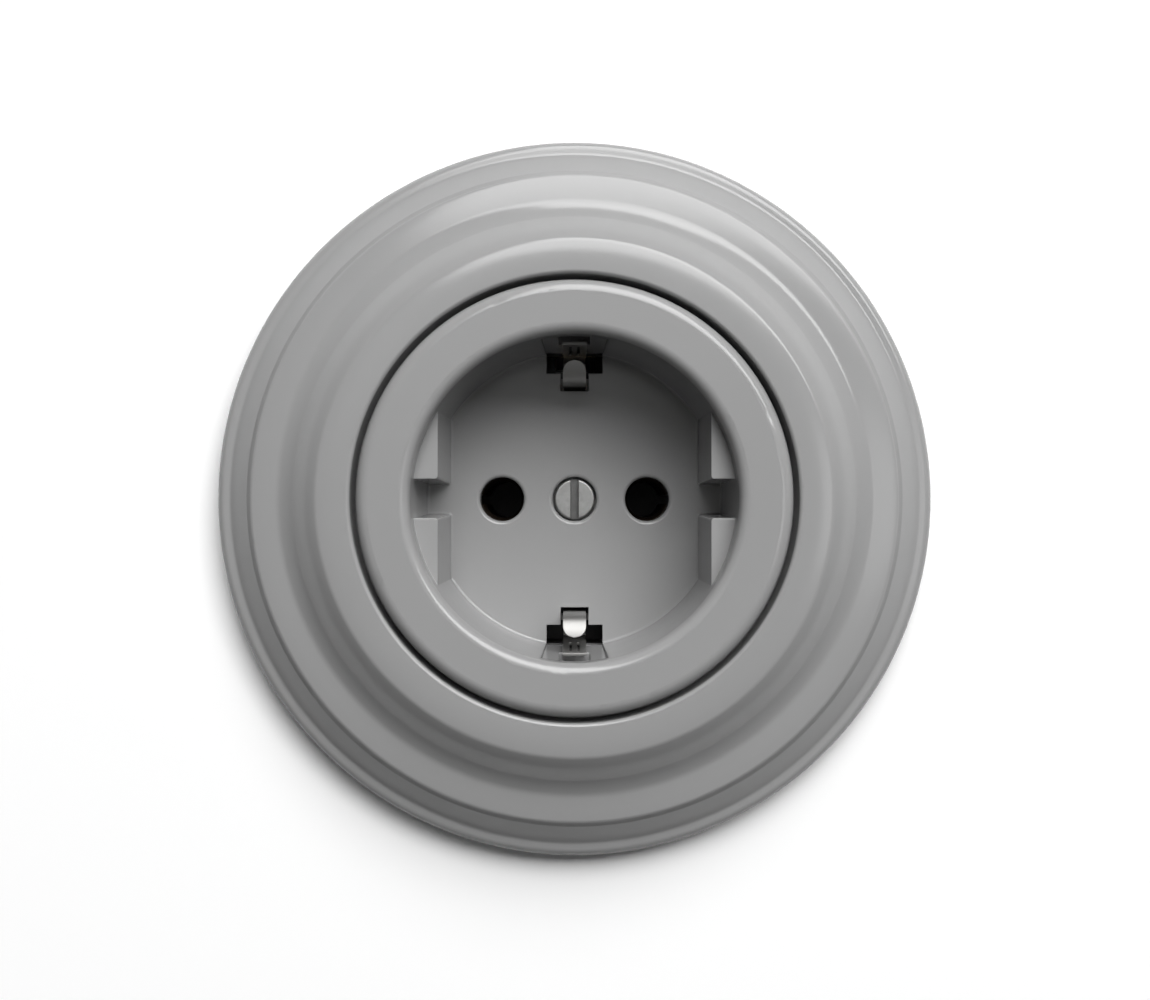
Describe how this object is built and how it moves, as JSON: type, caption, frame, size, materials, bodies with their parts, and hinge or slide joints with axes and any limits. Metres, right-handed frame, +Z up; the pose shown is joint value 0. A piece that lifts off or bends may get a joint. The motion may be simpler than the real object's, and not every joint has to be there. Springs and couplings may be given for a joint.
{
  "type": "schuko wall socket",
  "caption": "Round flush-mounted schuko wall socket with a stepped cover frame, recessed plug well, earth tongues and spreading claws.",
  "frame": {"origin": "middle of the socket on the face of the wall, where the support ring lies", "axes": "+X to the right seen from the room, +Y into the wall, +Z up"},
  "size_m": [0.0898, 0.0416, 0.0898],
  "materials": {
    "cover_plastic": "smooth and glossy, moulded",
    "block_plastic": "plain moulded thermoset",
    "nickel": "nickel-plated spring metal",
    "zinc": "zinc-plated steel",
    "contact_brass": "bare brass"
  },
  "bodies": {
    "socket": {"cover_frame": "cover_plastic", "centre_cover": "cover_plastic", "cover_screw": "nickel", "earth_bow": "nickel", "earth_rail": "contact_brass", "contact_block": "block_plastic", "back_plate": "block_plastic", "screw_insert": "contact_brass", "line_contact": "contact_brass", "neutral_contact": "contact_brass", "line_clamp": "zinc", "neutral_clamp": "zinc", "earth_clamp": "zinc", "line_screw": "zinc", "neutral_screw": "zinc", "earth_screw": "zinc", "support_ring": "zinc", "ring_screws": "zinc", "plate_rivets": "contact_brass", "right_claw_screw": "zinc", "left_claw_screw": "zinc"},
    "right_claw": {"right_claw": "zinc"},
    "left_claw": {"left_claw": "zinc"},
    "right_claw_nut": {"right_claw_nut": "zinc"},
    "left_claw_nut": {"left_claw_nut": "zinc"}
  },
  "joints": [
    {"name": "right_claw_spread", "type": "slide", "parent": "socket", "child": "right_claw", "axis": [0.342, -0.9397, 0], "range_m": [0, 0.008]},
    {"name": "right_nut_travel", "type": "slide", "parent": "socket", "child": "right_claw_nut", "axis": [0, -1, 0], "range_m": [0, 0.00752]},
    {"name": "left_claw_spread", "type": "slide", "parent": "socket", "child": "left_claw", "axis": [-0.342, -0.9397, 0], "range_m": [0, 0.008]},
    {"name": "left_nut_travel", "type": "slide", "parent": "socket", "child": "left_claw_nut", "axis": [0, -1, 0], "range_m": [0, 0.00752]}
  ],
  "couplings": [
    {"joint": "right_nut_travel", "follows": "right_claw_spread", "ratio": 0.93969},
    {"joint": "left_nut_travel", "follows": "left_claw_spread", "ratio": 0.93969}
  ]
}
